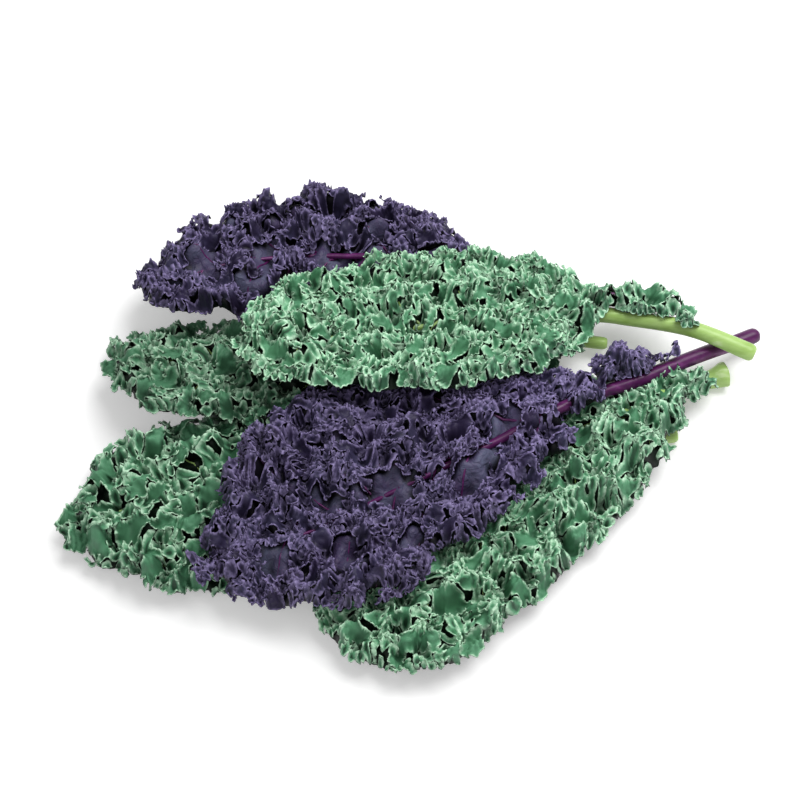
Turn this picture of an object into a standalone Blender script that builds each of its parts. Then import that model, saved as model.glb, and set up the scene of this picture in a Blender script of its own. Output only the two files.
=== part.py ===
"""A loose bunch of six leaves of curly kale, four green and two purple, lying on a table.

Each leaf is two pieces: a stalk, which runs on into the leaf as its midrib, and a blade, one thin
sheet whose edge is far longer than its outline and so stands up in ruffles. The blade has a slot
that the midrib lies in, and closes round the midrib's tip. Leaves are laid one after another, and
each is draped over the heap below it.

Metres, +Z up, +X towards the cut stalks, the table at Z = 0 under the middle of the heap.
"""

import math
import random

import bmesh
import bpy
import numpy as np

# The blade's sheet
BLADE_THICKNESS = 0.0010
SLOT_GAP = 0.0006  # between the midrib and the blade's inner edge, on each side
SLANTED_SLOT = 1.5  # the blade is cut along its slanting side veins, so the slot is longer that way
WING_WIDTH = 0.0045  # narrow green wing that runs down the stalk from the blade
LEAFLET_WIDTH = 0.026  # half the width of a leaflet on the wing, as a share of the leaf's length
BASE_OPENING = 0.16  # share of the leaf's length over which most blades widen from their base
BASE_WIDTH = 0.16  # share of its full width that most blades start with
TIP_NARROWING = 0.26
TIP_NARROWING_START = 0.62
MIDRIB_END = 0.90  # share of the leaf's length where the midrib ends
TIP_FAN_START = 0.85  # share of a side's columns that leave the midrib; the rest fan round its tip
VEIN_ANGLE_BASE = math.radians(76)
VEIN_ANGLE_TIP = math.radians(52)
BLADE_CLEARANCE = 0.0011  # from the sheet's middle to what the blade lies on
BLADE_LIFT = 0.005  # how far the midrib is held off the table by the ruffles under the blade
LIFT_BEFORE = 0.08  # shares of the length over which the stalk rises to the blade's height
LIFT_AFTER = 0.15
COLUMN_JITTER = 0.20  # unevenness of the columns, as a share of their spacing
LOBE_SHARPNESS = 1.4
DIRECTION_STEPS = 40
DIRECTION_STEP = 0.2
LEAST_LEAN = 0.5  # keeps the sheet's thickness within twice its own at sharp folds


class Ring:
    """One line along the blade: its place in the cross-section and how strongly it waves."""

    def __init__(self, divisor, out, up, sideways, upright, hang):
        self.divisor = divisor  # the edge has this many columns for each one here
        self.out = out  # share of the way out to the blade's side
        self.up = up  # share of the blade's height
        self.sideways = sideways  # share of a full wave, across the leaf
        self.upright = upright  # share of a full wave, up and down
        self.hang = hang  # 0 keeps to the midrib's height, 1 lies on the heap below


PROFILE = (
    Ring(4, 0.00, 0.00, 0.00, 0.00, 0.0),  # beside the midrib
    Ring(2, 0.17, 0.06, 0.10, 0.10, 0.2),  # floor of the inner fold
    Ring(1, 0.40, 0.75, 0.50, 0.35, 0.5),  # the inner row of ruffles
    Ring(2, 0.62, 0.06, 0.10, 0.15, 1.0),  # floor between the two rows
    Ring(1, 1.00, 0.44, 0.60, 0.50, 1.0),  # the side, where the blade turns up
    Ring(1, 0.90, 1.00, 0.90, 0.50, 1.0),  # the edge, turned in over the blade
)
INNER_ROW = PROFILE[2]

# The ruffles
WAVE_COLUMNS = 4  # columns in one wave of the edge
WAVE_REACH = 0.0075  # how far a full wave stands out from the sheet, each way
NARROW = 0.006  # a blade no wider than this has no ruffles
FULLY_RUFFLED = 0.8  # share of the leaf's greatest width from which the ruffles are at full size
WAVE_UNEVENNESS = (0.60, 1.25)
STRAY = 0.15  # how far the points between crests stray, as a share of a full wave

# The stalk
STALK_SIDES = 8
STALK_STATIONS = 15
STALK_TIP_RADIUS = 0.0009
STALK_FLAT_TOP = 0.55  # height of the stalk's flat upper side, as a share of its radius

# How the heap lies
CELL = 0.0025
HIGHEST = 0.1  # no point of the heap is higher than this
HEAP_HALF_X = 0.26
HEAP_HALF_Y = 0.22
LEAF_GAP = 0.0012
REST_SPREAD = 5  # cells round a peak that stay clear of it
SMOOTHING = 2
DRAPE_SLOPE = 0.42  # steepest run of a leaf over the one below
STALK_SLOPE = 0.20  # steepest run of a stalk, which is stiffer
HANG_START = 0.010  # how far from the midrib the blade's sides begin to hang
HANG_SLOPE = 0.30  # how fast a blade's sides hang from a midrib held high
COVER_SPREAD = 4
COVER_SOFTNESS = 2
PRESSED_HEIGHT = 0.82  # share of a blade's height lost under another leaf
PRESSED_WAVES = 0.50
HEAP_CENTRE = (0.0015, -0.0056)  # the middle of the footprint, in the leaves' own coordinates

GREEN = (0.105, 0.265, 0.125)
GREEN_STALK = (0.46, 0.62, 0.19)
PURPLE = (0.055, 0.038, 0.085)
PURPLE_STALK = (0.17, 0.018, 0.13)


class Leaf:
    """One leaf: its line from the cut end to the tip, and the sizes of its blade and stalk."""

    def __init__(self, name, purple, line, cut_radius, blade_start, near, far, **extra):
        self.name = name
        self.purple = purple
        self.line = resampled(line)
        self.cut_radius = cut_radius
        self.blade_start = blade_start  # share of the line where the full blade begins
        self.width = {1: near, -1: far}  # side vein's length towards -Y and towards +Y
        self.height = extra.get("height", 0.024)
        self.lobes = extra.get("lobes", 6)
        self.lobe_depth = extra.get("lobe_depth", 0.30)
        self.columns = extra.get("columns", 128)
        self.wing_start = extra.get("wing_start", blade_start - 0.02)
        self.leaflets = extra.get("leaflets", ())  # each: share of the line, side, length
        near_opening = extra.get("near_opening", BASE_OPENING)
        far_opening = extra.get("far_opening", BASE_OPENING)
        self.opening = {1: near_opening, -1: far_opening}  # share of the line over which it widens
        self.base_width = extra.get("base_width", BASE_WIDTH)
        self.tip_narrowing = extra.get("tip_narrowing", TIP_NARROWING)
        self.seed = extra.get("seed", 1)


def curve_point(a, b, c, d, t):
    """A point of the Catmull-Rom curve between b and c."""
    return 0.5 * (
        2 * b
        + (c - a) * t
        + (2 * a - 5 * b + 4 * c - d) * t**2
        + (3 * b - a - 3 * c + d) * t**3
    )


def resampled(points, count=121):
    """Evenly spaced points on a smooth curve through the points given."""
    points = [np.array(p, float) for p in points]
    points = [2 * points[0] - points[1], *points, 2 * points[-1] - points[-2]]
    fine = []
    for a, b, c, d in zip(points, points[1:], points[2:], points[3:]):
        fine += [curve_point(a, b, c, d, t) for t in np.linspace(0, 1, 40, endpoint=False)]
    fine = np.array([*fine, points[-2]])
    run = np.concatenate([[0], np.cumsum(np.linalg.norm(np.diff(fine, axis=0), axis=1))])
    at = np.linspace(0, run[-1], count)
    return np.stack([np.interp(at, run, fine[:, k]) for k in (0, 1)], axis=1)


def on_line(line, share):
    """The point and the unit direction at a share of the leaf's length."""
    at = np.clip(share, 0, 1) * (len(line) - 1)
    low = min(int(at), len(line) - 2)
    step = line[low + 1] - line[low]
    return line[low] + step * (at - low), step / np.linalg.norm(step)


def length_of(line):
    return float(np.linalg.norm(np.diff(line, axis=0), axis=1).sum())


def smooth(value, low, high):
    """0 below low, 1 above high, and a soft step between."""
    t = np.clip((value - low) / (high - low), 0, 1)
    return t * t * (3 - 2 * t)


def stalk_radius(leaf, share):
    """The stalk keeps its width up to the blade and then narrows to the midrib's tip."""
    into_blade = np.clip((share - leaf.blade_start) / (MIDRIB_END - leaf.blade_start), 0, 1)
    return STALK_TIP_RADIUS + (leaf.cut_radius - STALK_TIP_RADIUS) * (1 - into_blade) ** 1.1


def vein_length(leaf, share, side):
    """How far the blade reaches from the midrib along the side vein that starts at this share."""
    full = leaf.width[side]
    opening = smooth(share, leaf.blade_start, leaf.blade_start + leaf.opening[side])
    opening = leaf.base_width * (opening > 0) + (1 - leaf.base_width) * opening
    narrowing = 1 - leaf.tip_narrowing * smooth(share, TIP_NARROWING_START, MIDRIB_END)
    along = (share - leaf.blade_start) / (MIDRIB_END - leaf.blade_start)
    notch = (1 - abs(math.sin(math.pi * leaf.lobes * along + side))) ** LOBE_SHARPNESS
    lobed = 1 - leaf.lobe_depth * notch
    return WING_WIDTH + (full - WING_WIDTH) * opening * narrowing * lobed


def leaflet_length(leaf, share, side):
    """What the leaflets on the stalk's wing add to the blade's reach."""
    reach = 0.0
    for place, leaflet_side, length in leaf.leaflets:
        if leaflet_side == side:
            reach += length * math.exp(-(((share - place) / LEAFLET_WIDTH) ** 2))
    return reach


def column(leaf, place):
    """Where one column of the blade starts, its way, its length, its start and its ruffled length.

    place runs from 0 at the base of the near side, round the tip at 0.5, to 1 at the far side's base.
    """
    side = 1 if place < 0.5 else -1
    outward = 1 - abs(1 - 2 * place)
    along = min(1.0, outward / TIP_FAN_START)
    share = leaf.wing_start + (MIDRIB_END - leaf.wing_start) * along
    point, tangent = on_line(leaf.line, share)
    across = np.array([-tangent[1], tangent[0]])
    round_tip = max(0.0, (outward - TIP_FAN_START) / (1 - TIP_FAN_START))
    angle = VEIN_ANGLE_BASE + (VEIN_ANGLE_TIP - VEIN_ANGLE_BASE) * along
    angle *= 1 - round_tip
    direction = math.cos(angle) * tangent + side * math.sin(angle) * across
    tip_length = (1 - MIDRIB_END) * length_of(leaf.line)
    side_length = vein_length(leaf, share, side)
    length = side_length + (tip_length - side_length) * round_tip
    start = SLANTED_SLOT * (stalk_radius(leaf, share) + SLOT_GAP)
    ruffled = max(length, start + WING_WIDTH) - start
    length = start + ruffled + leaflet_length(leaf, share, side)
    return point, direction, length, start, share, ruffled


def wave_table(leaf, draw):
    """One height for each column: crests and troughs in turn, none quite like another."""
    table = []
    for k in range(leaf.columns + 1):
        crest = (0, 1, 0, -1)[k % WAVE_COLUMNS]
        table.append(crest * draw.uniform(*WAVE_UNEVENNESS) + draw.uniform(-STRAY, STRAY))
    return table


def column_places(leaf, draw):
    """The columns' places from base to base, unevenly spaced, with both ends kept."""
    jitter = [draw.uniform(-COLUMN_JITTER, COLUMN_JITTER) for _ in range(leaf.columns + 1)]
    jitter[0] = jitter[-1] = 0
    return [(k + off) / leaf.columns for k, off in enumerate(jitter)]


def blade_sheet(leaf, heap, rest, cover):
    """The blade's middle surface as rings of points, from the midrib outwards."""
    draw = random.Random(leaf.seed)
    columns = [column(leaf, place) for place in column_places(leaf, draw)]
    edge_waves, inner_waves, humps = (wave_table(leaf, draw) for _ in range(3))
    widest = max(leaf.width.values())
    rings = []
    for number, ring in enumerate(PROFILE):
        waves = inner_waves if ring is INNER_ROW else edge_waves
        points = []
        for k in range(0, leaf.columns + 1, ring.divisor):
            point, direction, length, start, share, ruffled = columns[k]
            size = smooth(ruffled, NARROW, FULLY_RUFFLED * widest)
            even_out = number / (len(PROFILE) - 1)
            out = even_out + (ring.out - even_out) * smooth(size, 0, 1)
            flat = point + direction * (start + (length - start) * out)
            pressed = cover.at(flat)
            reach = WAVE_REACH * size * (1 - PRESSED_WAVES * pressed)
            flat = flat - direction * reach * ring.sideways * waves[k]
            tall = size * (1 - PRESSED_HEIGHT * pressed)
            rise = leaf.height * tall * ring.up + WAVE_REACH * tall * ring.upright * humps[k - 1]
            above = rest(share)
            hanging = above - HANG_SLOPE * max(0.0, length * ring.out - HANG_START)
            lying = max(heap.at(flat), hanging)
            above += stalk_height(leaf, share)
            z = max(above + (lying - above) * ring.hang + rise, heap.at(flat) + BLADE_CLEARANCE)
            points.append((flat[0], flat[1], z))
        rings.append(points)
    return rings


def rest_along(leaf, heap):
    """How high the heap holds the stalk at each share of its length; the stalk bends only gently."""
    shares = np.linspace(0, 1, len(leaf.line))
    under = np.array([heap.at(point) for point in leaf.line])
    apart = np.abs(shares[:, None] - shares[None, :]) * length_of(leaf.line)
    held = (under[None, :] - STALK_SLOPE * apart).max(axis=1)
    return lambda share: float(np.interp(share, shares, held))


def stalk_height(leaf, share):
    """How high the stalk's axis runs above what the leaf rests on."""
    lift = BLADE_LIFT * smooth(share, leaf.blade_start - LIFT_BEFORE, leaf.blade_start + LIFT_AFTER)
    return stalk_radius(leaf, share) + lift


class HeightMap:
    """A height for each cell of the table, read with soft edges between the cells."""

    def __init__(self):
        self.columns = 2 * round(HEAP_HALF_X / CELL)
        self.rows = 2 * round(HEAP_HALF_Y / CELL)
        self.z = np.zeros((self.columns, self.rows))

    def cell(self, xy):
        x = (np.asarray(xy)[..., 0] + HEAP_HALF_X) / CELL
        y = (np.asarray(xy)[..., 1] + HEAP_HALF_Y) / CELL
        return np.clip(x, 0, self.columns - 1.001), np.clip(y, 0, self.rows - 1.001)

    def at(self, xy):
        x, y = self.cell(xy)
        i, j = int(x), int(y)
        s, t = x - i, y - j
        low = self.z[i, j] * (1 - s) + self.z[i + 1, j] * s
        high = self.z[i, j + 1] * (1 - s) + self.z[i + 1, j + 1] * s
        return low * (1 - t) + high * t

    def raise_to(self, points):
        """Lifts the cells under these points to the points' own heights."""
        x, y = self.cell(points[:, :2])
        np.maximum.at(self.z, (x.astype(int), y.astype(int)), points[:, 2])

    def neighbours(self, drop):
        """The highest of each cell and its eight neighbours, each neighbour less a drop."""
        best = self.z.copy()
        for i in (-1, 0, 1):
            for j in (-1, 0, 1):
                moved = np.roll(self.z, (i, j), (0, 1)) - drop * math.hypot(i, j)
                best = np.maximum(best, moved)
        return best

    def blurred(self, cells):
        made = HeightMap()
        made.z = self.z.copy()
        for axis in (0, 1):
            made.z = sum(np.roll(made.z, k, axis) for k in range(-cells, cells + 1)) / (2 * cells + 1)
        return made

    def resting_surface(self):
        """A smooth surface that lies on the peaks and runs off them no steeper than a leaf would."""
        made = self.spread(REST_SPREAD)
        for _ in range(round(HIGHEST / (DRAPE_SLOPE * CELL))):
            made.z = np.maximum(made.neighbours(DRAPE_SLOPE * CELL), 0)
        made.z = np.where(made.z > 0, made.z + LEAF_GAP, 0)
        return made.blurred(SMOOTHING)

    def spread(self, cells):
        made = HeightMap()
        made.z = self.z.copy()
        for _ in range(cells):
            made.z = made.neighbours(0)
        return made


def footprint(leaf):
    """The cells of the table that the leaf covers, as a map of 0 and 1."""
    made = HeightMap()
    steps = np.linspace(0, 1, 24)
    for place in np.linspace(0, 1, 500):
        point, direction, length = column(leaf, place)[:3]
        made.raise_to(np.array([[*(point + direction * length * s), 1.0] for s in steps]))
    return made


def cover_over(leaves, index):
    """How far each place is covered by the leaves laid after this one, from 0 to 1."""
    made = HeightMap()
    for later in leaves[index + 1 :]:
        made.z = np.maximum(made.z, footprint(later).z)
    return made.spread(COVER_SPREAD).blurred(COVER_SOFTNESS).blurred(COVER_SOFTNESS)


def widening_strip(coarse, fine, spans):
    """Triangles between two rings, the second with two columns for each one of the first."""
    faces = []
    for k in range(spans):
        a, b = coarse + k, fine + 2 * k
        faces += [(a, b, b + 1), (a, b + 1, a + 1), (a + 1, b + 1, b + 2)]
    return faces


def even_strip(inner, outer, spans):
    """Triangles between two rings with the same count of columns."""
    faces = []
    for k in range(spans):
        a, b = inner + k, outer + k
        if k % 2:
            faces += [(a, b, b + 1), (a, b + 1, a + 1)]
        else:
            faces += [(a, b, a + 1), (b, b + 1, a + 1)]
    return faces


def joined_rings(rings):
    """The blade's triangles, all wound the same way."""
    starts = np.cumsum([0] + [len(ring) for ring in rings])
    faces = []
    for inner, outer, a, b in zip(rings, rings[1:], starts, starts[1:]):
        if len(inner) < len(outer):
            faces += widening_strip(a, b, len(inner) - 1)
        elif len(inner) > len(outer):
            faces += [face[::-1] for face in widening_strip(b, a, len(outer) - 1)]
        else:
            faces += even_strip(a, b, len(inner) - 1)
    return [tuple(map(int, face)) for face in faces]


def material(name, colour, roughness):
    made = bpy.data.materials.new(name)
    made.use_nodes = True
    shader = made.node_tree.nodes["Principled BSDF"]
    shader.inputs["Base Color"].default_value = (*colour, 1)
    shader.inputs["Roughness"].default_value = roughness
    return made


def add_object(name, points, faces, look):
    mesh = bpy.data.meshes.new(name)
    mesh.from_pydata([tuple(map(float, p)) for p in points], [], faces)
    mesh.materials.append(look)
    made = bpy.data.objects.new(name, mesh)
    bpy.context.scene.collection.objects.link(made)
    return made


def outward_direction(normals):
    """The direction that leans as little as possible away from every one of these face normals."""
    direction = sum(normals)
    for _ in range(DIRECTION_STEPS):
        direction = direction / np.linalg.norm(direction)
        worst = min(normals, key=lambda normal: normal @ direction)
        direction = direction + DIRECTION_STEP * worst
    direction = direction / np.linalg.norm(direction)
    return direction / max(LEAST_LEAN, min(normal @ direction for normal in normals))


def thickened(points, faces):
    """Both faces of a sheet and its rim, with the same triangles above and below."""
    points = np.array(points)
    faces = np.array(faces)
    corners = points[faces]
    normals = np.cross(corners[:, 1] - corners[:, 0], corners[:, 2] - corners[:, 0])
    if normals[:, 2].sum() < 0:
        faces = faces[:, ::-1]
        normals = -normals
    normals /= np.linalg.norm(normals, axis=1)[:, None]
    round_point = [[] for _ in points]
    for face, normal in zip(faces, normals):
        for corner in face:
            round_point[corner].append(normal)
    half = BLADE_THICKNESS / 2 * np.array([outward_direction(around) for around in round_point])
    above = [tuple(map(int, face)) for face in faces]
    count = len(points)
    below = [(c + count, b + count, a + count) for a, b, c in above]
    edges = {(face[k], face[(k + 1) % 3]) for face in above for k in range(3)}
    rim = []
    for a, b in sorted(edge for edge in edges if edge[::-1] not in edges):
        rim += [(b, a, a + count), (b, a + count, b + count)]
    return np.concatenate([points + half, points - half]), above + below + rim


def add_blade(leaf, heap, rest, cover, look):
    """The blade: one closed sheet round the midrib."""
    rings = blade_sheet(leaf, heap, rest, cover)
    points = [np.array(point) - (*HEAP_CENTRE, 0) for ring in rings for point in ring]
    return add_object(leaf.name + "_blade", *thickened(points, joined_rings(rings)), look)


def stalk_ring(radius):
    """The stalk's cross-section: round below, with a flat upper side, and a flat facet under it."""
    ring = []
    for k in range(STALK_SIDES):
        angle = 2 * math.pi * (k + 0.5) / STALK_SIDES
        up = radius * math.sin(angle) / math.cos(math.pi / STALK_SIDES)
        ring.append((radius * math.cos(angle), min(up, STALK_FLAT_TOP * radius)))
    return ring


def add_stalk(leaf, rest, look):
    """The stalk and midrib: rings along the leaf's line, closed at the cut end and at the tip."""
    points = []
    centre = np.array(HEAP_CENTRE)
    for share in np.linspace(0, MIDRIB_END, STALK_STATIONS):
        middle, tangent = on_line(leaf.line, share)
        across = np.array([-tangent[1], tangent[0]])
        height = stalk_height(leaf, share) + rest(share)
        for side, up in stalk_ring(stalk_radius(leaf, share)):
            points.append((*(middle + across * side - centre), height + up))
    faces = []
    for s in range(STALK_STATIONS - 1):
        for k in range(STALK_SIDES):
            a, b = s * STALK_SIDES + k, s * STALK_SIDES + (k + 1) % STALK_SIDES
            faces.append((a, a + STALK_SIDES, b + STALK_SIDES, b))
    faces.append(tuple(range(STALK_SIDES)))
    last = (STALK_STATIONS - 1) * STALK_SIDES
    faces.append(tuple(last + k for k in reversed(range(STALK_SIDES))))
    stalk = add_object(leaf.name + "_stalk", points, faces, look)
    solid = bmesh.new()
    solid.from_mesh(stalk.data)
    bmesh.ops.recalc_face_normals(solid, faces=solid.faces)
    bmesh.ops.triangulate(solid, faces=solid.faces)
    solid.to_mesh(stalk.data)
    solid.free()
    return stalk


def surface_points(made, spread=0.0018):
    """Points all over an object's faces, close enough together to leave no cell out."""
    graph = bpy.context.evaluated_depsgraph_get()
    mesh = made.evaluated_get(graph).to_mesh()
    mesh.calc_loop_triangles()
    corners = np.array([[mesh.vertices[i].co[:] for i in t.vertices] for t in mesh.loop_triangles])
    corners[..., :2] += HEAP_CENTRE
    made.evaluated_get(graph).to_mesh_clear()
    longest = np.linalg.norm(corners - np.roll(corners, 1, axis=1), axis=2).max()
    steps = max(2, math.ceil(longest / spread))
    found = []
    for i in range(steps + 1):
        for j in range(steps + 1 - i):
            weights = np.array([i, j, steps - i - j]) / steps
            found.append(np.einsum("k,nkd->nd", weights, corners))
    return np.concatenate(found)


def leaves_in_order():
    """The leaves from the bottom of the heap to the top, each line from its cut end to its tip."""
    return [
        Leaf(
            "lower_left_green_leaf",
            False,
            [
                (0.163, -0.014), (0.096, -0.018), (0.0, -0.028), (-0.084, -0.040),
                (-0.150, -0.056), (-0.207, -0.076),
            ],
            cut_radius=0.0052,
            blade_start=0.30,
            near=0.066,
            far=0.060,
            seed=3,
        ),
        Leaf(
            "lower_right_green_leaf",
            False,
            [
                (0.195, 0.026), (0.168, 0.018), (0.140, 0.000), (0.096, -0.038),
                (0.048, -0.080), (0.0, -0.116), (-0.050, -0.143),
            ],
            cut_radius=0.0058,
            blade_start=0.10,
            near=0.058,
            far=0.054,
            lobes=7,
            seed=5,
        ),
        Leaf(
            "upper_left_green_leaf",
            False,
            [
                (0.124, 0.048), (0.090, 0.052), (0.030, 0.044), (-0.060, 0.034),
                (-0.126, 0.034), (-0.184, 0.042),
            ],
            cut_radius=0.0046,
            blade_start=0.08,
            near=0.050,
            far=0.050,
            lobes=6,
            columns=120,
            seed=8,
        ),
        Leaf(
            "back_purple_leaf",
            True,
            [
                (0.170, 0.079), (0.120, 0.084), (0.060, 0.094), (0.0, 0.106),
                (-0.060, 0.110), (-0.108, 0.101), (-0.160, 0.078),
            ],
            cut_radius=0.0048,
            blade_start=0.34,
            near=0.049,
            far=0.054,
            lobes=5,
            lobe_depth=0.38,
            columns=120,
            seed=13,
        ),
        Leaf(
            "front_purple_leaf",
            True,
            [
                (0.217, 0.052), (0.180, 0.034), (0.144, 0.014), (0.114, -0.002),
                (0.072, -0.025), (0.030, -0.046), (-0.006, -0.063), (-0.048, -0.082),
                (-0.084, -0.096), (-0.124, -0.112),
            ],
            cut_radius=0.0056,
            blade_start=0.25,
            near=0.062,
            far=0.088,
            near_opening=0.54,
            far_opening=0.46,
            tip_narrowing=0.50,
            lobes=6,
            lobe_depth=0.36,
            wing_start=0.14,
            leaflets=((0.19, -1, 0.016), (0.245, -1, 0.012)),
            seed=41,
        ),
        Leaf(
            "top_green_leaf",
            False,
            [
                (0.211, 0.029), (0.174, 0.046), (0.138, 0.056), (0.114, 0.060),
                (0.072, 0.058), (0.030, 0.052), (-0.030, 0.042), (-0.098, 0.022),
            ],
            cut_radius=0.0062,
            blade_start=0.33,
            near=0.054,
            far=0.060,
            near_opening=0.14,
            far_opening=0.14,
            base_width=0.22,
            lobes=6,
            wing_start=0.14,
            leaflets=((0.20, -1, 0.014), (0.26, -1, 0.010), (0.19, 1, 0.006)),
            seed=34,
        ),
    ]


def build():
    for old in list(bpy.data.objects):
        bpy.data.objects.remove(old)
    green = material("green_blade", GREEN, 0.55)
    purple = material("purple_blade", PURPLE, 0.50)
    green_stalk = material("green_stalk", GREEN_STALK, 0.40)
    purple_stalk = material("purple_stalk", PURPLE_STALK, 0.35)
    leaves = leaves_in_order()
    piled = HeightMap()
    for index, leaf in enumerate(leaves):
        heap = piled.resting_surface()
        rest = rest_along(leaf, heap)
        cover = cover_over(leaves, index)
        stalk = add_stalk(leaf, rest, purple_stalk if leaf.purple else green_stalk)
        blade = add_blade(leaf, heap, rest, cover, purple if leaf.purple else green)
        for piece in (stalk, blade):
            piled.raise_to(surface_points(piece))


build()
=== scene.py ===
"""The look of a loose bunch of six curly kale leaves, dressed over its plain solids.

Each blade is made of two sheets that belong together. The lamina is the broad green or purple sheet
on the side veins. The ruffles are the leaf's margin, which is many times longer than the outline and
so folds into winding troughs. Their rims follow the zero line of a smooth noise, which winds the
way a crowded margin does. All lengths are in metres.
"""

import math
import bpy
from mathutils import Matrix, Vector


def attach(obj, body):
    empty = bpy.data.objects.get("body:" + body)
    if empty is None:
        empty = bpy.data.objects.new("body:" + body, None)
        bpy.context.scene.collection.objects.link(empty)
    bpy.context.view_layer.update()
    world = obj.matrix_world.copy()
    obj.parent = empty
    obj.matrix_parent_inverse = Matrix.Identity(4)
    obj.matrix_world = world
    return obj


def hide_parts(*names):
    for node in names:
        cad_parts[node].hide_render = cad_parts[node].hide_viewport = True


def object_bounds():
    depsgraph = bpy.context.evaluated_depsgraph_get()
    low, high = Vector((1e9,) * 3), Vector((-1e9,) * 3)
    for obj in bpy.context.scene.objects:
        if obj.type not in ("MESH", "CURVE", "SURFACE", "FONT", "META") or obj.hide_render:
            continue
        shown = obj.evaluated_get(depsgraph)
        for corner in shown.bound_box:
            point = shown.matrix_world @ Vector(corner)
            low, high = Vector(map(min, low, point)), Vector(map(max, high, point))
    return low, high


bl_info = {
    "name": "Curly kale bunch",
    "version": (1, 0, 0),
    "blender": (4, 5, 0),
    "location": "View3D > Sidebar > Kale",
    "description": "Ruffled blades, ribbed stalks and leaf materials for a bunch of curly kale",
    "category": "Object",
}

from dataclasses import dataclass
from functools import partial

import bpy
import numpy as np
from mathutils import Quaternion, Vector

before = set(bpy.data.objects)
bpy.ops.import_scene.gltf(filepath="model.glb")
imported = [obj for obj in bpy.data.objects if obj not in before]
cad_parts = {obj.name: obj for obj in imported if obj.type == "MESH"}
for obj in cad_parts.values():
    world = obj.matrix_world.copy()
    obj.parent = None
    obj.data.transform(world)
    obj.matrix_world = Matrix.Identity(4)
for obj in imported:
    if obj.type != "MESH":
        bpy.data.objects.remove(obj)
CAD_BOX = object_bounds()

HEAP_CENTRE = np.array((0.0015, -0.0056))  # the middle of the bunch in the leaf lines' coordinates
MIDRIB_END = 0.90  # share of a leaf's length where the midrib ends
ROW = math.sqrt(3) / 2  # height of a row of the triangular lattice

# Maps of the heap
CELL = 0.0015
MAP_ROOM = 0.012  # how far the maps reach past the solids
FAR = 1.0  # stands for "nothing here" in a map of heights

# The ruffles
HIDDEN_ROOM = 0.0045  # where another leaf leaves less room than this, the ruffles are left out
HIDDEN_DEPTH = 0.017  # nor are there ruffles farther than this in under another leaf
LEAF_GAP = 0.003  # kept free under another leaf
WINDING = 0.0014  # how far the folds are drawn out of their even course
FULL_RUFFLE = 0.010  # ruffles that stand lower than this are shallow ones
RIM_WAVE = 0.0010  # how far a rim rises and falls along its length
FAR_FROM_RIM = 9  # millimetres, which stands for "no rim near"

# The lamina
LAMINA_STEP = 0.0022
LAMINA_INSET = 0.004  # from the outline to the lamina's own edge, which the ruffles hide
CREASE = 0.0007  # how high the creases of an open patch stand
MIDRIB_REACH = 0.012  # how far from the midrib the ruffles keep away, where the leaf is open

# The stalks and veins
MIDRIB_TIP = 0.0007  # radius at the midrib's end
VEIN_BASE = 0.0010  # radius where a side vein leaves the midrib
VEIN_TIP = 0.0003
VEIN_STEP = 0.062  # share of the leaf's length from one side vein to the next
VEIN_SLANT = 0.75  # how far a side vein runs on towards the tip, against its reach
VEIN_POINTS = 14
STALK_SIDES = 14
RIB_DEPTH = 0.045  # share of the radius
RIB_TURN = 2.1  # radians from side to side, which makes about a rib to every three sides

# The stage
FLOOR_REACH = 6.0
ELEVATION = math.radians(60)  # the photograph's, judged from how the leaves foreshorten
ROLL = math.radians(-1.2)
LENS = 100  # millimetres, as the sensor
SENSOR = 36
PICTURE_WIDTH = 0.488  # what the picture shows across the bunch
AIM = (-0.0045, 0.0150)  # from the heap's middle, to the right and upwards in the picture


@dataclass
class Leaf:
    """One leaf of the bunch: its line from the cut end to the tip, and how its margin ruffles.

    Widths are rows of a share of the line's length, then the blade's reach towards -Y and +Y there.
    """

    name: str
    line: list
    widths: list
    fold: float = 0.0048  # from one trough to the next in the fine frills
    broad_fold: float = 0.012  # the same in the broad sheets
    broad: float = 0.3  # how much of the blade has broad sheets
    height: float = 0.021  # of the ruffles above the blade's underside
    lobing: float = 0.0024  # how far the lobes move the outline
    open: float = 0.0  # how much of the smooth lamina shows between the ruffles
    blade_start: float = 0.3  # share of the line where the stalk is bare
    cut_flare: float = 0.0  # how much the cut end widens
    shade: float = 1.0  # how light its blade is against the other leaves'
    faded: float = 0.0  # how much paler the blade is towards its stalk
    coarse: float = 1.0  # the step of its points against the other leaves'
    seed: int = 1

    def __post_init__(self):
        self.purple = "purple" in self.name
        self.line = resampled(self.line) - HEAP_CENTRE
        self.widths = np.array(self.widths)

    @property
    def length(self):
        return float(np.linalg.norm(np.diff(self.line, axis=0), axis=1).sum())


def curve_point(a, b, c, d, t):
    """A point of the Catmull-Rom curve between b and c."""
    return 0.5 * (
        2 * b
        + (c - a) * t
        + (2 * a - 5 * b + 4 * c - d) * t**2
        + (3 * b - a - 3 * c + d) * t**3
    )


def resampled(points, count=121):
    """Evenly spaced points on a smooth curve through the points given."""
    points = [np.array(p, float) for p in points]
    points = [2 * points[0] - points[1], *points, 2 * points[-1] - points[-2]]
    fine = []
    for a, b, c, d in zip(points, points[1:], points[2:], points[3:]):
        fine += [curve_point(a, b, c, d, t) for t in np.linspace(0, 1, 40, endpoint=False)]
    fine = np.array([*fine, points[-2]])
    run = np.concatenate([[0], np.cumsum(np.linalg.norm(np.diff(fine, axis=0), axis=1))])
    at = np.linspace(0, run[-1], count)
    return read_along(at, run, fine)


def read_along(at, places, values):
    """The rows of values that stand at some places, read off between them."""
    return np.stack([np.interp(at, places, column) for column in values.T], axis=1)


def across(line):
    """The unit vectors across a line, to its left."""
    along = np.gradient(line, axis=0)
    return np.stack([-along[:, 1], along[:, 0]], axis=1) / np.linalg.norm(along, axis=1)[:, None]


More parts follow.
